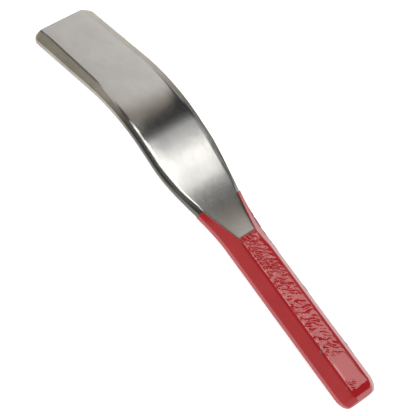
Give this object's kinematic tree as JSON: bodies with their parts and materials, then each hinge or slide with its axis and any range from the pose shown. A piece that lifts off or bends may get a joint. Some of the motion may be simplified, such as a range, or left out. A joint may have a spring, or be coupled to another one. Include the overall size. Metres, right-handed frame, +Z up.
{
  "type": "body spoon",
  "caption": "Panel beater's body spoon: a broad ground steel blade on a cranked neck, with a flattened eight-sided bar handle in a glossy red skin.",
  "frame": {"origin": "middle of the length and width, on the surface that the spoon lies on", "axes": "+X towards the handle's end, blade tip towards -X; +Z up, the ground face on top; +Y across the blade"},
  "size_m": [0.3194, 0.047, 0.0321],
  "materials": {
    "ground_steel": "belt-ground satin face with fine scratches, duller forged sides and back",
    "red_skin": "glossy red dip over a rough forged surface, wrinkled on the top"
  },
  "bodies": {
    "root": {"forging": "ground_steel", "handle_skin": "red_skin"}
  },
  "joints": []
}
